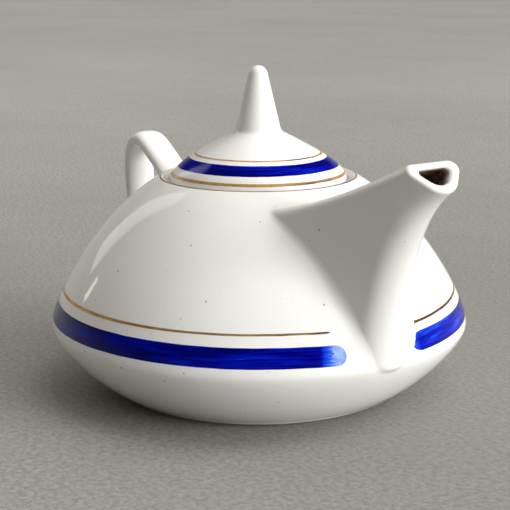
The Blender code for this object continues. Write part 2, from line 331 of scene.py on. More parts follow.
def nearest_on_body(points):
    """For points in space: how far outside the body's side they are, and the side's outward normals."""
    points = np.atleast_2d(points)
    radii = np.hypot(points[:, 0], points[:, 1])
    flat = np.stack([radii, points[:, 2]], 1)
    skip = 2  # the side's points are so close that every second one is near enough
    nearest = ((flat[:, None] - side[None, ::skip]) ** 2).sum(2).argmin(1) * skip
    normal = side_normals[nearest]
    away = ((flat - side[nearest]) * normal).sum(1)
    unit = points[:, :2] / radii[:, None]
    return away, np.column_stack([unit * normal[:, :1], normal[:, 1]])


def on_body(angle, height, lift):
    """The point of the upper side at an angle and a height, lifted off the surface."""
    k = len(upper_side) - 1 - np.searchsorted(upper_side[::-1, 1], height)
    k = min(max(k, 0), len(upper_side) - 2)
    share = (upper_side[k, 1] - height) / (upper_side[k, 1] - upper_side[k + 1, 1])
    r, z = (1 - share) * upper_side[k] + share * upper_side[k + 1] + lift * side_normals[k]
    return r * math.cos(angle), r * math.sin(angle), z


def travelled(line):
    """How far along a line each of its points is."""
    return np.concatenate([[0], np.cumsum(np.linalg.norm(np.diff(line, axis=0), axis=1))])


def read_along(line, lengths, at):
    """The points of a line at these lengths along it."""
    return np.array([np.interp(at, lengths, line[: len(lengths), k]) for k in range(3)]).T


def landed(line, spread, rounding):
    """A line that runs down into the body is cut short and led onto the body's surface by a fillet.

    spread is the direction that the fillet spreads in at its foot, roughly; rounding is its radius.
    """
    away, _ = nearest_on_body(line)
    inside = int(np.argmax(away < 0))
    share = away[inside - 1] / (away[inside - 1] - away[inside])
    entry = line[inside - 1] + share * (line[inside] - line[inside - 1])
    normal = nearest_on_body(entry)[1][0]
    falling = line[inside] - line[inside - 1]
    falling /= np.linalg.norm(falling)
    flat = spread - (spread @ normal) * normal
    flat /= np.linalg.norm(flat)
    turn = math.acos(np.clip(falling @ flat, -1, 1))
    least, most = 1.2 * MM, 2.2 * rounding
    reach = np.clip(rounding * math.tan(turn / 2), least, most)
    lengths = travelled(line[:inside])
    total = lengths[-1] + np.linalg.norm(entry - line[inside - 1])
    keep = max(total - reach, 0.3 * total)
    start, before = (read_along(line, lengths, at) for at in (keep, keep - 0.5 * MM))
    heading = (start - before) / np.linalg.norm(start - before)
    end = entry + flat * reach
    gap, end_normal = nearest_on_body(end)
    end = end - gap[0] * end_normal[0]
    leaving = flat - (flat @ end_normal[0]) * end_normal[0]
    leaving /= np.linalg.norm(leaving)
    hold = 0.6 * reach
    fillet = bezier(start, start + heading * hold, end - leaving * hold, end, 14)
    buried = end + 0.4 * MM * leaving - 0.10 * MM * end_normal[0]
    shaft = read_along(line, lengths, np.linspace(0, keep, 90))
    return np.vstack([shaft, fillet[1:], buried])


def outward(columns, index):
    """The direction that each column of a tube faces, from its neighbours."""
    ring = columns[:, index]
    around = np.roll(ring, -1, axis=0) - np.roll(ring, 1, axis=0)
    along = columns[:, min(index + 1, columns.shape[1] - 1)] - columns[:, max(index - 1, 0)]
    facing = np.cross(around, along)
    centre = ring.mean(0)
    facing *= np.sign(((ring - centre) * facing).sum(1))[:, None]
    return facing / np.linalg.norm(facing, axis=1)[:, None]


def entry_index(line):
    """The first point of a line that is inside the body."""
    return int(np.argmax(nearest_on_body(line)[0] < 0))


# Materials. All are procedural, in each piece's own coordinates, and so hold still from every side.


def fill_ramp(node, stops):
    """Sets a ColorRamp node to stops of (position, colour)."""
    elements = node.color_ramp.elements
    while len(elements) < len(stops):
        elements.new(0.5)
    for element, (position, colour) in zip(elements, stops):
        element.position = position
        element.color = (*colour, 1)


class Graph:
    """A material and a short way to add nodes to it."""

    def __init__(self, name, **settings):
        self.material = bpy.data.materials.new(name)
        self.material.use_nodes = True
        self.tree = self.material.node_tree
        self.shader = self.tree.nodes["Principled BSDF"]
        for socket, value in settings.items():
            self.shader.inputs[socket.replace("_", " ")].default_value = value
        self.place = self.tree.nodes.new("ShaderNodeTexCoord").outputs["Object"]

    def link(self, source, target):
        if isinstance(source, (int, float)):
            target.default_value = source
        elif isinstance(source, tuple):
            target.default_value = (*source, 1)
        else:
            self.tree.links.new(source, target)

    def noise(self, scale, detail=2.0, roughness=0.5, vector=None, distortion=0.0):
        made = self.tree.nodes.new("ShaderNodeTexNoise")
        made.inputs["Scale"].default_value = scale
        made.inputs["Detail"].default_value = detail
        made.inputs["Roughness"].default_value = roughness
        made.inputs["Distortion"].default_value = distortion
        self.link(vector or self.place, made.inputs["Vector"])
        return made.outputs["Fac"]

    def stretched(self, vector, scale):
        made = self.tree.nodes.new("ShaderNodeMapping")
        made.inputs["Scale"].default_value = scale
        self.link(vector, made.inputs["Vector"])
        return made.outputs["Vector"]

    def ramp(self, value, *stops):
        """Maps a value through stops of (position, colour)."""
        made = self.tree.nodes.new("ShaderNodeValToRGB")
        fill_ramp(made, stops)
        self.link(value, made.inputs["Fac"])
        return made.outputs["Color"]

    def fade(self, value, low, high, start=0.0, end=1.0):
        made = self.tree.nodes.new("ShaderNodeMapRange")
        for socket, number in zip(("From Min", "From Max", "To Min", "To Max"), (low, high, start, end)):
            made.inputs[socket].default_value = number
        self.link(value, made.inputs["Value"])
        return made.outputs["Result"]

    def math(self, operation, first, second):
        made = self.tree.nodes.new("ShaderNodeMath")
        made.operation = operation
        self.link(first, made.inputs[0])
        self.link(second, made.inputs[1])
        return made.outputs["Value"]

    def mix(self, share, first, second):
        made = self.tree.nodes.new("ShaderNodeMix")
        made.data_type = "RGBA"
        self.link(share, made.inputs["Factor"])
        self.link(first, made.inputs["A"])
        self.link(second, made.inputs["B"])
        return made.outputs["Result"]

    def attribute(self, name, output="Fac"):
        made = self.tree.nodes.new("ShaderNodeAttribute")
        made.attribute_name = name
        return made.outputs[output]

    def specks(self, spacing, size, share):
        """1 on small round specks, in a share of the cells that are spacing apart."""
        made = self.tree.nodes.new("ShaderNodeTexVoronoi")
        made.inputs["Scale"].default_value = 1 / spacing
        self.link(self.place, made.inputs["Vector"])
        near = self.fade(made.outputs["Distance"], size / spacing, 0.7 * size / spacing)
        split = self.tree.nodes.new("ShaderNodeSeparateColor")
        self.link(made.outputs["Color"], split.inputs["Color"])
        chosen = self.math("LESS_THAN", split.outputs["Red"], share)
        return self.math("MULTIPLY", near, chosen)

    def bump(self, height, depth):
        made = self.tree.nodes.new("ShaderNodeBump")
        made.inputs["Distance"].default_value = depth
        self.link(height, made.inputs["Height"])
        self.link(made.outputs["Normal"], self.shader.inputs["Normal"])

    def base(self, colour):
        self.link(colour, self.shader.inputs["Base Color"])

    def rough(self, value):
        self.link(value, self.shader.inputs["Roughness"])


def glaze(name, tint=(1, 1, 1)):
    """Clear glaze over white porcelain: slow shifts of tone, iron specks, pinholes, a faint orange peel."""
    g = Graph(name, IOR=1.52)
    cool = tuple(a * b for a, b in zip((0.845, 0.845, 0.825), tint))
    warm = tuple(a * b for a, b in zip((0.800, 0.790, 0.755), tint))
    tone = g.ramp(g.noise(22, 3, 0.55), (0.35, warm), (0.65, cool))
    fine = g.mix(g.fade(g.noise(420, 2), 0.3, 0.7, 0.0, 0.10), tone, warm)
    iron = g.specks(4 * MM, 0.42 * MM, 0.12)
    dust = g.specks(2.3 * MM, 0.22 * MM, 0.15)
    spotted = g.mix(g.math("MULTIPLY", iron, 0.75), fine, (0.10, 0.065, 0.04))
    dusty = g.mix(g.math("MULTIPLY", dust, 0.45), spotted, (0.30, 0.24, 0.17))
    # Brown where the stain attribute says: tea stain, and painted shade standing in for the shadow in the
    # lid's seat and deep in the spout's channel.
    tea_and_shade = g.math("MULTIPLY", g.attribute("stain_and_painted_shade"), g.fade(g.noise(260, 4, 0.6), 0.2, 0.6, 0.55, 1.0))
    g.base(g.mix(tea_and_shade, dusty, (0.17, 0.050, 0.012)))
    g.rough(g.fade(g.noise(60, 4, 0.6), 0.3, 0.7, 0.06, 0.11))
    peel = g.math("ADD", g.noise(260, 2), g.math("MULTIPLY", g.noise(45, 1), 6.0))
    g.bump(g.math("SUBTRACT", peel, g.math("MULTIPLY", iron, 2.0)), 0.02 * MM)
    return g.material


def cobalt(name):
    """Cobalt brushed on under the glaze: streaks along the stroke, dark pools and pale watery ends."""
    g = Graph(name, IOR=1.52, Specular_Tint=(0.22, 0.30, 1.0, 1))
    stroke = g.attribute("stroke", "Vector")
    wash = g.attribute("wash")
    hairs = g.noise(1, 4, 0.65, g.stretched(stroke, (55, 1500, 1)), 0.3)
    broad = g.noise(1, 2, 0.5, g.stretched(stroke, (28, 260, 1)))
    load = g.math("ADD", g.math("MULTIPLY", hairs, 0.5), g.math("MULTIPLY", broad, 0.5))
    streaks = g.math("MULTIPLY", load, g.fade(wash, 0.3, 1.0, 1.0, 0.15))
    cloudy = g.math("MULTIPLY", g.noise(420, 4, 0.6), g.fade(wash, 0.3, 1.0, 0.0, 0.42))
    thin = g.math("ADD", g.math("ADD", streaks, cloudy), g.math("MULTIPLY", wash, 0.60))
    blue = g.ramp(
        thin,
        (0.34, (0.0004, 0.0004, 0.050)),
        (0.48, (0.0005, 0.0008, 0.150)),
        (0.60, (0.0006, 0.0060, 0.400)),
        (0.74, (0.012, 0.085, 0.700)),
        (0.90, (0.30, 0.44, 0.93)),
    )
    g.base(g.mix(g.specks(4 * MM, 0.36 * MM, 0.15), blue, (0.001, 0.001, 0.02)))
    g.rough(g.fade(hairs, 0.3, 0.7, 0.06, 0.12))
    g.bump(g.math("ADD", g.noise(260, 2), hairs), 0.02 * MM)
    return g.material


def gold(name):
    """A thin line of gold lustre: bright where it is thick, brown where it is thin or rubbed through, and
    in places painted brighter as a painted highlight and darker as painted shade.
    """
    g = Graph(name, Metallic=0.5)
    stroke = g.attribute("stroke", "Vector")
    along = g.noise(1, 3, 0.6, g.stretched(stroke, (70, 500, 1)))
    grain = g.noise(1, 3, 0.6, g.stretched(stroke, (500, 4000, 1)))
    wear = g.math("ADD", g.math("MULTIPLY", along, 0.7), g.math("MULTIPLY", grain, 0.3))
    # How brown the gold is: wear from noise, plus the stroke's wash, which also carries painted highlight
    # and painted shade.
    brownness = g.math("ADD", wear, g.math("MULTIPLY", g.attribute("wash"), 0.25))
    g.base(
        g.ramp(
            brownness,
            (0.34, (0.78, 0.47, 0.18)),
            (0.52, (0.52, 0.29, 0.10)),
            (0.70, (0.13, 0.058, 0.020)),
        )
    )
    g.rough(g.fade(grain, 0.3, 0.7, 0.20, 0.42))
    g.bump(grain, 0.03 * MM)
    return g.material


def biscuit(name):
    """Bare fired clay, ground flat: matt, fine-grained and a little stained."""
    g = Graph(name)
    clay = g.ramp(g.noise(70, 5, 0.6), (0.35, (0.60, 0.55, 0.47)), (0.62, (0.76, 0.73, 0.66)))
    g.base(g.mix(g.fade(g.noise(1500, 3), 0.35, 0.7, 0.0, 0.35), clay, (0.50, 0.44, 0.36)))
    g.rough(g.fade(g.noise(300, 3), 0.3, 0.7, 0.55, 0.80))
    g.bump(g.noise(2500, 4, 0.7), 0.05 * MM)
    return g.material


def wiped(name):
    """Thin glaze wiped back by hand, with tea stain in it."""
    g = Graph(name, IOR=1.5)
    smear = g.ramp(g.noise(90, 4, 0.6), (0.34, (0.62, 0.53, 0.41)), (0.56, (0.80, 0.77, 0.71)))
    g.base(g.mix(g.specks(4 * MM, 0.15 * MM, 0.2), smear, (0.25, 0.17, 0.10)))
    g.rough(g.fade(g.noise(120, 3), 0.3, 0.7, 0.22, 0.45))
    g.bump(g.noise(700, 3), 0.03 * MM)
    return g.material


def paper(name):
    """The plain backdrop: grey, matt, with the faint grain of rolled paper, and painted darker near the pot
    and paler far off as a painted falloff of light.
    """
    g = Graph(name)
    distance = g.tree.nodes.new("ShaderNodeVectorMath")
    distance.operation = "LENGTH"
    g.link(g.place, distance.inputs[0])
    broad = g.noise(4, 5, 0.65, g.stretched(g.place, (0.35, 0.55, 1)))
    near = g.ramp(broad, (0.35, (0.252, 0.248, 0.232)), (0.65, (0.312, 0.308, 0.292)))
    far = g.ramp(broad, (0.35, (0.405, 0.400, 0.385)), (0.65, (0.480, 0.475, 0.460)))
    # Darker near the pot and paler far off: a painted falloff of light, under broad mottling.
    mottle_and_painted_falloff = g.mix(g.fade(distance.outputs["Value"], 0.15, 1.3), near, far)
    grain = g.fade(g.noise(430, 5, 0.75), 0.38, 0.60, 0.0, 0.85)
    g.base(g.mix(grain, mottle_and_painted_falloff, (0.190, 0.185, 0.165)))
    g.rough(g.fade(g.noise(30, 2), 0.3, 0.7, 0.75, 0.90))
    g.bump(g.noise(480, 3, 0.6), 0.25 * MM)
    return g.material


# The pot.


def make_body(material):
    outer = side[::8]
    outer = outer[outer[:, 1] > BASE + 0.6 * MM]
    base_radius = FOOT_RADIUS + BASE / math.tan(FOOT_SLOPE)
    inner = side[::16] - WALL * side_normals[::16]
    floor_height = BASE + WALL + BASE_RECESS
    clear_of_throat = inner[:, 0] > THROAT_RADIUS + 3.2 * WALL
    inner = inner[clear_of_throat & (inner[:, 1] > floor_height + 2.0 * MM)]
    throat_bottom = SEAT_HEIGHT - THROAT_DEPTH
    mouth = rounded(
        [
            (THROAT_RADIUS + 2 * WALL, throat_bottom - 0.35 * WALL, 0),
            (THROAT_RADIUS, throat_bottom, 0.8 * MM),
            (THROAT_RADIUS, SEAT_HEIGHT, 0.7 * MM),
            (SEAT_RADIUS, SEAT_HEIGHT, 0.7 * MM),
            (rim_centre[0] - RIM_ROUNDING, rim_centre[1], 0),
        ]
    )
    crest = arc(rim_centre, RIM_ROUNDING, 165, math.degrees(math.pi / 2 - SHOULDER_SLOPE), 14)
    underside = rounded(
        [
            (base_radius, BASE, 0.3 * MM),
            (FOOT_RADIUS - 7 * MM, BASE, 0.8 * MM),
            (FOOT_RADIUS - 12 * MM, BASE + BASE_RECESS, 2 * MM),
            (0, BASE + BASE_RECESS, 0),
            (0, floor_height, 0),
            (inner[-1][0] - 4 * MM, floor_height, 1.5 * MM),
            (inner[-1][0], inner[-1][1], 0),
        ]
    )
    outline = np.vstack([outer, underside[:-1], inner[::-1], mouth, crest[:-1]])
    body = add("pot_body_shell", turned(outline), "pot", material, "pot_body")
    bore(body, strainer_drills())

    # Brown in the corner of the seat where the lid rests: tea stain, and painted shade standing in for the
    # shadow of the gap under the lid.
    def in_seat(point):
        from_corner = math.hypot(math.hypot(point.x, point.y) - SEAT_RADIUS, point.z - SEAT_HEIGHT)
        return 0.42 * fading(from_corner, 2.2 * MM)

    stain_and_painted_shade(body, in_seat)


def strainer_drills():
    """The holes behind the spout, in rows that interlock, each from inside the pot to inside the spout."""
    across = Vector((math.cos(STRAINER_TILT), 0, math.sin(STRAINER_TILT)))
    up = Vector((-math.sin(STRAINER_TILT), 0, math.cos(STRAINER_TILT)))
    drills = []
    for row, count in enumerate(STRAINER_ROWS):
        rise = ((len(STRAINER_ROWS) - 1) / 2 - row) * STRAINER_PITCH * math.sin(math.radians(60))
        for place in range(count):
            shift = Vector((0, (place - (count - 1) / 2) * STRAINER_PITCH, 0))
            centre = Vector((STRAINER_CENTRE[0], 0, STRAINER_CENTRE[1])) + rise * up + shift
            drills.append((centre - 4 * WALL * across, centre + 4 * WALL * across, STRAINER_HOLE))
    return drills


def make_foot(material):
    flare = FOOT_TOP / math.tan(FOOT_SLOPE)
    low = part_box("foot_ring")[0]
    inner = FOOT_RADIUS - FOOT_BREADTH
    outline = rounded(
        [
            (FOOT_RADIUS, low.z, 0.25 * MM),
            (FOOT_RADIUS + flare, FOOT_TOP, 0.2 * MM),
            (inner, FOOT_TOP, 0.2 * MM),
            (inner, low.z, 0.4 * MM),
            (FOOT_RADIUS - 3 * MM, low.z, 0),
        ]
    )
    add("pot_foot_ring", turned(outline), "pot", material, "foot_ring")


def rounded_triangle(half_width, depth, keel, wall, lip):
    """Points across and down of a flat-topped section with rounded corners and a round keel.

    With a wall, it is the outline of the channel that leaves that wall all round, and a lip more below.
    """
    corner = SPOUT_CORNER
    shoulder_at = np.array([half_width - corner, corner])
    keel_at = np.array([0, depth - keel])
    dx, dz = keel_at - shoulder_at
    facing = math.atan2(dz, dx) - math.acos((corner - keel) / math.hypot(dx, dz))
    if wall:
        corner = SPOUT_INNER_CORNER + lip / 2
        keel -= wall
        keel_at = keel_at - (0, lip)
        flank = keel_at[1] * math.sin(facing) + keel - corner
        across = (flank - (wall + corner) * math.sin(facing)) / math.cos(facing)
        shoulder_at = np.array([across, wall + corner])
    turn = math.degrees(facing)
    right = arc(shoulder_at, corner, -90, turn, 12)
    bottom = arc(keel_at, keel, turn, 180 - turn, 25)
    left = arc(shoulder_at * (-1, 1), corner, 180 - turn, 270, 12)

    def straight(start, end, count):
        return np.linspace(start, end, count + 2)[1:-1]

    return np.vstack(
        [
            right,
            straight(right[-1], bottom[0], 26),
            bottom,
            straight(bottom[-1], left[0], 26),
            left,
            straight(left[-1], right[0], 30),
        ]
    )


def between(first, last, share):
    """The number that lies a share of the way from the first to the last."""
    return first + (last - first) * share


def spout_columns(wall, end):
    """Lines along the spout's surface, from the mouth to inside the body: columns, points, xyz.

    Each has its rings first, then the turn under the toe, then a run straight back into the body.
    """
    rings = []
    for t in np.linspace(end, 0, SPOUT_RINGS):
        (top,) = bezier(*SPOUT_TOP, 1, t)
        (keel,) = bezier(*SPOUT_KEEL, 1, t)
        depth = np.linalg.norm(keel - top)
        down = (keel - top) / depth
        left = (SPOUT_TOP[3][0] - top[0]) / (SPOUT_TOP[3][0] - SPOUT_TOP[0][0])
        half_width = between(SPOUT_MOUTH_HALF_WIDTH, SPOUT_ROOT_HALF_WIDTH, left**2)
        keel_round = between(SPOUT_MOUTH_KEEL_ROUND, SPOUT_ROOT_KEEL_ROUND, left**2)
        lip = SPOUT_LIP * max(0, 1 - left / 0.3)
        outline = rounded_triangle(half_width, depth, keel_round, wall, lip)
        points = top + outline[:, 1:] * down
        rings.append(np.column_stack([points[:, 0], outline[:, 0], points[:, 1]]))
    root = rings[-1]
    for turn in np.linspace(0, math.pi / 2, 12)[1:]:
        rings.append(root - SPOUT_TOE * np.array([1 - math.cos(turn), 0, math.sin(turn)]))
    toe = rings[-1]
    for back in range(1, 11):
        rings.append(toe - np.array([back * MM, 0, 0]))
    return np.array(rings).transpose(1, 0, 2)


def make_spout(material):
    end = 1 - SPOUT_WALL / 2 / (3 * math.dist(SPOUT_TOP[3], SPOUT_TOP[2]))
    outer = spout_columns(0, end)
    inner = spout_columns(SPOUT_WALL, end)
    forward = outer[:, 0] - outer[:, 2]
    forward /= np.linalg.norm(forward, axis=1)[:, None]
    shell, lining = [], []
    midway = 60  # a ring halfway along, whose width tells the keel's edges from the flanks
    keel_edge, edge_breadth = 8 * MM, 4 * MM
    for k, line in enumerate(outer):
        facing = outward(outer, entry_index(line))[k]
        off_edge = (abs(line[midway, 1]) - keel_edge) / edge_breadth
        rounding = SPOUT_FILLET + SPOUT_FILLET_GAIN * math.exp(-(off_edge**2))
        middle = (line[0] + inner[k, 0]) / 2
        across = (line[0] - inner[k, 0]) / 2
        ahead = forward[k] * SPOUT_WALL / 2
        lip = [middle - across * math.cos(a) + ahead * math.sin(a) for a in np.linspace(0, math.pi, 12)]
        shell.append(np.vstack([lip, landed(line, facing, rounding)[1:]]))
        channel = inner[k, : entry_index(inner[k]) + 1]
        lining.append(read_along(channel, range(len(channel)), np.linspace(0, len(channel) - 1, 70)))
    add("spout_shell", gridded(shell), "pot", material, "spout")
    channel = add("spout_lining", gridded(lining), "pot", material)
    mouth = inner[:, 0].mean(0)
    # Browner deeper inside the channel: painted shade for the unlit channel, with tea stain.
    stain_and_painted_shade(channel, lambda p: ((Vector(mouth) - p).dot(Vector(forward.mean(0))) + 0.5 * MM) / (4 * MM))


def make_handle(material):
    line = np.vstack([bezier(*HANDLE_RISE, 60), bezier(*HANDLE_TURN, 40)[1:], bezier(*HANDLE_FALL, 80)[1:]])
    out = normals_left(line)
    angles = np.linspace(0, math.tau, 72, endpoint=False)
    wide = HANDLE_HALF_WIDTH * np.sign(np.sin(angles)) * np.abs(np.sin(angles)) ** HANDLE_SQUARENESS
    thick = HANDLE_HALF_THICKNESS * np.sign(np.cos(angles)) * np.abs(np.cos(angles)) ** HANDLE_SQUARENESS
    lengths = travelled(line)
    from_root = np.minimum(lengths, lengths[-1] - lengths)
    flare = 1 + HANDLE_FLARE * np.maximum(0, 1 - from_root / HANDLE_FLARE_LENGTH) ** 2
    columns = np.zeros((len(angles), len(line), 3))
    columns[:, :, 0] = line[:, 0] + thick[:, None] * flare * out[:, 0]
    columns[:, :, 1] = wide[:, None] * flare
    columns[:, :, 2] = line[:, 1] + thick[:, None] * flare * out[:, 1]
    half = int(np.searchsorted(lengths, lengths[-1] / 2))
    strap = []
    rising, falling = columns[:, : half + 1][:, ::-1], columns[:, half:]
    for k in range(len(angles)):
        up, down = (
            landed(arm[k], outward(arm, entry_index(arm[k]))[k], HANDLE_FILLET) for arm in (rising, falling)
        )
        strap.append(np.vstack([up[::-1], down[1:]]))
    add("handle_strap", gridded(strap), "pot", material, "handle")


# The lid.


def dome_side():
    """The dome's upper side from its edge inwards, as far as the finial's foot."""
    edge = (LID_RADIUS, LID_EDGE)
    flat = (FINIAL_FOOT, LID_TOP)
    return bezier(
        edge, (LID_RADIUS, LID_EDGE + 4.2 * MM), toward(flat, -LID_SLOPE, 19.5 * MM), flat, 200
    )


def cone_radius(height):
    """The finial's radius at a height on its straight side."""
    tip_centre = FINIAL_TOP - FINIAL_TIP_RADIUS
    touch = tip_centre + FINIAL_TIP_RADIUS * math.sin(FINIAL_TAPER)
    return FINIAL_TIP_RADIUS * math.cos(FINIAL_TAPER) + (touch - height) * math.tan(FINIAL_TAPER)


def make_dome(material):
    top = dome_side()
    slope = math.tan(LID_SLOPE)
    taper = math.tan(FINIAL_TAPER)
    above = LID_TOP + (FINIAL_FOOT - cone_radius(LID_TOP)) * slope / (1 - slope * taper)
    foot_corner = (cone_radius(above), above)
    outer = top[top[:, 0] > FINIAL_FOOT + 3 * MM][::2]
    seam = (cone_radius(FINIAL_SPLIT), FINIAL_SPLIT, 0)
    upper = rounded([(*outer[-1], 0), (*foot_corner, FINIAL_FILLET), seam], 14)
    inside = (top + LID_WALL * normals_left(top))[::3]
    inside = inside[(inside[:, 0] < COLLAR_RADIUS - 6 * MM) & (inside[:, 0] > FINIAL_HOLLOW + 1 * MM)]
    ledge = COLLAR_TOP + 0.3 * MM
    lower = rounded(
        [
            (*inside[0], 0),
            (COLLAR_RADIUS - COLLAR_WALL, ledge, 0.8 * MM),
            (COLLAR_RADIUS + 0.3 * MM, ledge, 0),
            (COLLAR_RADIUS + 0.3 * MM, LID_BOTTOM, 0.2 * MM),
            (LID_RADIUS, LID_BOTTOM, 1.4 * MM),
            (LID_RADIUS, LID_EDGE, 0),
        ],
        9,
    )
    bore_edge = [(FINIAL_HOLLOW, FINIAL_SPLIT), (FINIAL_HOLLOW, inside[-1][1])]
    outline = np.vstack([outer, upper[1:], bore_edge, inside[::-1], lower[1:-1]])
    dome = add("lid_dome_shell", turned(outline), "lid", material, "lid_dome")
    vent = (-VENT_DISTANCE, 0, LID_TOP - (VENT_DISTANCE - FINIAL_FOOT) * slope)
    through = Vector((-math.sin(LID_SLOPE), 0, math.cos(LID_SLOPE))) * 3 * LID_WALL
    bore(dome, [(Vector(vent) - through, Vector(vent) + through, VENT_RADIUS)])


def make_finial(material):
    tip = (0, FINIAL_TOP - FINIAL_TIP_RADIUS)
    cap = arc(tip, FINIAL_TIP_RADIUS, 90, math.degrees(FINIAL_TAPER), 24)
    heights = np.linspace(cap[-1][1], FINIAL_SPLIT, 40)[1:]
    cone = np.array([(cone_radius(height), height) for height in heights])
    hollow = rounded(
        [
            (FINIAL_HOLLOW, FINIAL_SPLIT, 0),
            (FINIAL_TIP_RADIUS - 1.6 * MM, tip[1] - 7 * MM, 1.5 * MM),
            (0, tip[1] - 3.4 * MM, 0),
        ]
    )
    outline = np.vstack([cap, cone, hollow])
    add("lid_finial_shell", turned(outline), "lid", material, "lid_finial")


def make_collar(material):
    low, inner = COLLAR_BOTTOM, COLLAR_RADIUS - COLLAR_WALL
    outline = rounded(
        [
            (COLLAR_RADIUS, COLLAR_TOP, 0.2 * MM),
            (COLLAR_RADIUS, low, 1.1 * MM),
            (inner, low, 1.1 * MM),
            (inner, COLLAR_TOP, 0.2 * MM),
            (COLLAR_RADIUS - COLLAR_WALL / 2, COLLAR_TOP, 0),
        ]
    )
    add("lid_collar_ring", turned(outline), "lid", material, "lid_collar")


# The paint: thin strokes that lie on the glaze's surface, with the waver of a hand-held brush.


def fading(distance, reach):
    """1 at no distance, and evenly less to 0 at the reach."""
    return max(0, 1 - distance / reach)


def near_angle(angle, middle, breadth):
    """1 at the middle, in degrees, and smoothly less to both sides of it over the breadth, in radians."""
    return math.exp(-(((angle - math.radians(middle)) / breadth) ** 2))


def from_ends(angle, ends):
    """How far around the belly an angle is from where a stroke starts and from where it stops."""
    return (angle - ends[0]) * BELLY_RADIUS, (ends[1] - angle) * BELLY_RADIUS


def waver(angle, seed, reach):
    """A slow, closed wobble around the pot plus a finer one."""
    slow = noise.noise(Vector((1.6 * math.cos(angle), 1.6 * math.sin(angle), seed)))
    fine = noise.noise(Vector((14 * math.cos(angle), 14 * math.sin(angle), seed + 7)))
    return reach * (slow + 0.45 * fine)


def stroke(
    name,
    place,
    radius,
    breadth,
    ends,
    body,
    material,
    slot,
    steps=900,
    edge=0.15 * MM,
    rounding=(0.62, 0.62),
    swell=None,
    wash=None,
):
    """A painted stroke from one angle to another, or all the way round.

    place(angle, across) gives the point at a distance from the stroke's middle line. rounding is how long
    each end's taper is, in breadths, and swell(angle) widens the stroke. The stroke's own coordinates
    and its washed-out parts are kept as attributes.
    """
    start, end = ends or (0, math.tau)
    angles = np.linspace(start, end, steps, endpoint=bool(ends))
    shares = np.linspace(-1, 1, 9)
    points, coordinates, washes = [], [], []
    for angle in angles:
        taper = 1
        for from_end, reach in zip((angle - start, end - angle), rounding):
            left = max(0.0, 1 - from_end * radius / (reach * breadth))
            if ends:
                taper = min(taper, math.sqrt(1 - left**2))
        for share in shares:
            limit = breadth / 2 * (swell(angle) if swell else 1)
            limit += waver(angle, 3.1 if share > 0 else 9.7, edge)
            across = share * limit * max(taper, 0.03)
            points.append(place(angle, across))
            coordinates.append((angle * radius, across, 0))
            washes.append(wash(angle, share) if wash else 0)
    rows = np.array(points).reshape(len(angles), len(shares), 3)
    if not ends:
        rows = np.concatenate([rows, rows[:1]])
        coordinates += [(math.tau * radius, across, 0) for _, across, _ in coordinates[: len(shares)]]
        washes += washes[: len(shares)]
    mesh = bpy.data.meshes.new(name)
    count = len(shares)
    corners = [
        (i * count + j, (i + 1) * count + j, (i + 1) * count + j + 1, i * count + j + 1)
        for i in range(len(rows) - 1)
        for j in range(count - 1)
    ]
    mesh.from_pydata(rows.reshape(-1, 3).tolist(), [], corners)
    mesh.attributes.new("stroke", "FLOAT_VECTOR", "POINT").data.foreach_set(
        "vector", np.array(coordinates, np.float32).ravel()
    )
    mesh.attributes.new("wash", "FLOAT", "POINT").data.foreach_set("value", np.array(washes, np.float32))
    mesh.shade_smooth()
    mesh.materials.append(material)
    made = linked(name, mesh)
    made.location = (AXIS_X, 0, 0)
    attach(made, body)


dome = dome_side()
dome_normals = -normals_left(dome)
dome_lengths = travelled(dome)


def on_dome(radius, across, angle):
    """The point of the dome that lies across from a radius, measured along its surface, outwards up."""
    middle = np.interp(-radius, -dome[:, 0], dome_lengths)
    r, z = (np.interp(middle + across, dome_lengths, dome[:, k]) for k in (0, 1))
    nr, nz = (np.interp(middle + across, dome_lengths, dome_normals[:, k]) for k in (0, 1))
    return (r + PAINT * nr) * math.cos(angle), (r + PAINT * nr) * math.sin(angle), z + PAINT * nz


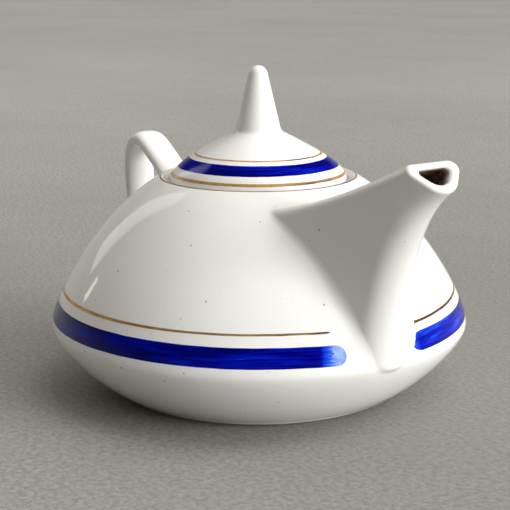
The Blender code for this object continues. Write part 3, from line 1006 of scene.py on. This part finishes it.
def paint_pot(blue, gilt):
    low, high = BAND_HEIGHTS

    def droop(angle, most):
        """How far a line that should be level runs low as the brush comes to the spout."""
        from_start, to_end = from_ends(angle, BAND_ENDS)
        return most * fading(from_start, 60 * MM) + 0.4 * MM * fading(to_end, 20 * MM)

    def on_band(angle, across):
        middle = (low + high) / 2 - droop(angle, 0.9 * MM) + waver(angle, 20, 0.12 * MM)
        return on_body(angle, middle + across, PAINT)

    def band_wash(angle, share):
        """Streaky at both ends of the stroke, and watery and pale where the brush lifts off."""
        from_start, to_end = from_ends(angle, BAND_ENDS)
        pale = min(1, 1.5 * fading(to_end, 11 * MM))
        streaky = 0.16 * fading(to_end, 70 * MM) + 0.34 * fading(from_start, 60 * MM)
        first_touch = 0.35 * fading(from_start, 5 * MM)
        deep = 0.14 * near_angle(angle, DEEP_BLUE_AT, 0.45)
        return max(pale, streaky * (0.55 + 0.45 * share) + first_touch) - deep

    stroke(
        "pot_cobalt_band",
        on_band,
        BELLY_RADIUS,
        high - low,
        BAND_ENDS,
        "pot",
        blue,
        "cobalt_band",
        rounding=(1.0, 0.6),
        wash=band_wash,
    )

    def on_gold_line(angle, across):
        middle = GOLD_HEIGHT - droop(angle, 2.1 * MM) + waver(angle, 31, 0.10 * MM)
        return on_body(angle, middle + across, PAINT)

    def gold_wash(angle, _share):
        """Worn brown where the stroke starts, and bright, partly as a painted highlight, where the brush
        held the most gold.
        """
        from_start, to_end = from_ends(angle, GOLD_ENDS)
        brownness = 1.1 * fading(from_start, 70 * MM) + 0.3 * (to_end < 9 * MM)
        # Brighter where the line is broadest, partly as a painted highlight.
        return 0.15 + brownness - 0.6 * near_angle(angle, GOLD_HIGHLIGHT_AT, 0.5)

    def gold_swell(angle):
        """Broader where the brush touches down, and again where it held the most gold."""
        from_start, _ = from_ends(angle, GOLD_ENDS)
        touch = 0.5 * math.exp(-from_start / (2.5 * MM)) + 0.25 * (angle < math.radians(60))
        return 1 + 0.55 * near_angle(angle, GOLD_HIGHLIGHT_AT, 0.42) + touch

    stroke(
        "pot_gold_line",
        on_gold_line,
        BELLY_RADIUS,
        GOLD_BREADTH,
        GOLD_ENDS,
        "pot",
        gilt,
        "gold_line",
        edge=0.07 * MM,
        rounding=(0.7, 3.0),
        swell=gold_swell,
        wash=gold_wash,
    )
    crest = math.radians(72)

    def on_rim(angle, across):
        round_crest = crest - (across + waver(angle, 52, 0.10 * MM)) / RIM_ROUNDING
        r = rim_centre[0] + (RIM_ROUNDING + PAINT) * math.cos(round_crest)
        z = rim_centre[1] + (RIM_ROUNDING + PAINT) * math.sin(round_crest)
        return r * math.cos(angle), r * math.sin(angle), z

    def rim_wash(angle, _share):
        """Worn through in places and whole in others."""
        return 0.45 + 1.2 * noise.noise(Vector((2.4 * math.cos(angle), 2.4 * math.sin(angle), 77)))

    stroke(
        "pot_gold_rim",
        on_rim,
        RIM_RADIUS,
        RIM_GOLD_BREADTH,
        None,
        "pot",
        gilt,
        "gold_line",
        steps=480,
        edge=0.12 * MM,
        wash=rim_wash,
    )


def paint_lid(blue, gilt):
    outer, inner = LID_BAND_RADII
    middle = (outer + inner) / 2
    breadth = math.dist(*(on_dome(r, 0, 0) for r in LID_BAND_RADII))
    stroke(
        "lid_cobalt_band",
        lambda angle, across: on_dome(middle, across + waver(angle, 42, 0.10 * MM), angle),
        outer,
        breadth,
        None,
        "lid",
        blue,
        "cobalt_band",
        steps=480,
    )

    def lid_wash(angle, _share):
        """Bright nearly all the way round and brightest towards one side, as a painted highlight, with one
        short stretch painted dark as painted shade.
        """
        # The short dark stretch is painted shade, and the slow brightening towards one side a painted
        # highlight.
        from_shade = math.remainder(angle - math.radians(LID_GOLD_SHADE_AT), math.tau)
        bright = 0.5 + 0.3 * math.cos(angle - math.radians(LID_GOLD_HIGHLIGHT_AT))
        return 1.6 * math.exp(-((from_shade / 0.3) ** 2)) - bright

    for name, radius, thickness in zip(("outer", "inner"), LID_GOLD_RADII, LID_GOLD_BREADTHS):
        stroke(
            f"lid_gold_{name}",
            lambda angle, across, radius=radius: on_dome(
                radius, across + waver(angle, 60 + 900 * radius, 0.08 * MM), angle
            ),
            radius,
            thickness,
            None,
            "lid",
            gilt,
            "gold_line",
            steps=480,
            edge=0.07 * MM,
            wash=lid_wash,
        )


# The studio.


def aim(made, place, target):
    made.location = place
    made.rotation_euler = (Vector(target) - Vector(place)).to_track_quat("-Z", "Y").to_euler()


def direction(azimuth, elevation):
    """A unit vector away from the pot, from degrees around from +X towards +Y and degrees up."""
    turn, rise = math.radians(azimuth), math.radians(elevation)
    return Vector((math.cos(rise) * math.cos(turn), math.cos(rise) * math.sin(turn), math.sin(rise)))


def softbox(name, azimuth, elevation, distance, width, height, power):
    """A rectangular white light that faces the middle of the pot, and shows in the glaze."""
    lamp = bpy.data.lights.new(name, "AREA")
    lamp.shape = "RECTANGLE"
    lamp.size, lamp.size_y = width, height
    lamp.energy = power
    spot = Vector((AXIS_X, 0, 50 * MM))
    aim(linked(name, lamp), spot + distance * direction(azimuth, elevation), spot)


def daylight(name, azimuth, elevation, spread, strength, colour):
    """Even light from far away, as soft as its spread in degrees is wide, with no hard-edged reflection."""
    lamp = bpy.data.lights.new(name, "SUN")
    lamp.angle = math.radians(spread)
    lamp.energy = strength
    lamp.color = colour
    made = linked(name, lamp)
    made.visible_glossy = False
    aim(made, direction(azimuth, elevation), (0, 0, 0))


def make_floor():
    bm = bmesh.new()
    bmesh.ops.create_grid(bm, x_segments=12, y_segments=12, size=30)
    mesh = bpy.data.meshes.new("floor")
    bm.to_mesh(mesh)
    bm.free()
    mesh.materials.append(paper("floor_paper"))
    floor = linked("floor", mesh)


def make_world():
    """Pale walls at the height of the table, and dark above, so that the glaze keeps its contrast."""
    world = bpy.data.worlds.new("studio")
    world.use_nodes = True
    tree = world.node_tree
    place = tree.nodes.new("ShaderNodeTexCoord")
    parts = tree.nodes.new("ShaderNodeSeparateXYZ")
    height = tree.nodes.new("ShaderNodeValToRGB")
    walls = ((0.0, (0.36, 0.355, 0.34)), (0.07, (0.34, 0.335, 0.32)), (0.35, (0.03, 0.028, 0.025)))
    fill_ramp(height, walls)
    tree.links.new(place.outputs["Generated"], parts.inputs["Vector"])
    tree.links.new(parts.outputs["Z"], height.inputs["Fac"])
    tree.links.new(height.outputs["Color"], tree.nodes["Background"].inputs["Color"])
    bpy.context.scene.world = world


def make_lights():
    """Soft window light from the camera's right, fill from behind and the left, and three reflections."""
    daylight("low_window", 25, 15, 38, 4.1, (1, 0.995, 0.985))
    daylight("high_window", 54, 66, 52, 1.62, (1, 0.995, 0.985))
    daylight("far_fill", 150, 40, 50, 0.62, (1, 0.97, 0.92))
    daylight("left_fill", 222, 62, 62, 0.60, (1, 0.94, 0.84))
    softbox("right_window", 62, 34, 1.6, 0.5, 0.8, 7)
    softbox("window_strip", 190, 30, 1.5, 0.30, 1.0, 1.1)
    softbox("window_pane", 205, 14, 1.5, 0.08, 0.16, 0.12)
    bpy.context.scene.view_settings.view_transform = "Standard"


def make_camera():
    """Level with CAMERA_HEIGHT at CAMERA_REACH from the axis, tipped down by its pitch and then rolled."""
    data = bpy.data.cameras.new("camera")
    data.sensor_width = 36
    data.lens = CAMERA_LENS
    data.clip_end = 40
    made = linked("camera", data)
    made.location = Vector((AXIS_X, 0, CAMERA_HEIGHT)) + CAMERA_REACH * direction(CAMERA_AZIMUTH, 0)
    look = direction(180 + CAMERA_AZIMUTH + CAMERA_PAN, -CAMERA_PITCH)
    roll = Matrix.Rotation(math.radians(CAMERA_ROLL), 4, look)
    turn = look.to_track_quat("-Z", "Y").to_matrix().to_4x4()
    made.rotation_euler = (roll @ turn).to_euler()
    bpy.context.scene.camera = made


make_camera()
make_floor()
make_world()
make_lights()

pot_glaze = glaze("pot_glaze")
lid_glaze = glaze("lid_glaze", (1.0, 0.998, 0.99))
make_body(pot_glaze)
make_foot(biscuit("foot_biscuit"))
make_spout(pot_glaze)
make_handle(pot_glaze)
make_dome(lid_glaze)
make_finial(lid_glaze)
make_collar(wiped("collar_glaze"))
cobalt_paint = cobalt("cobalt_paint")
gold_paint = gold("gold_paint")
paint_pot(cobalt_paint, gold_paint)
paint_lid(cobalt_paint, gold_paint)
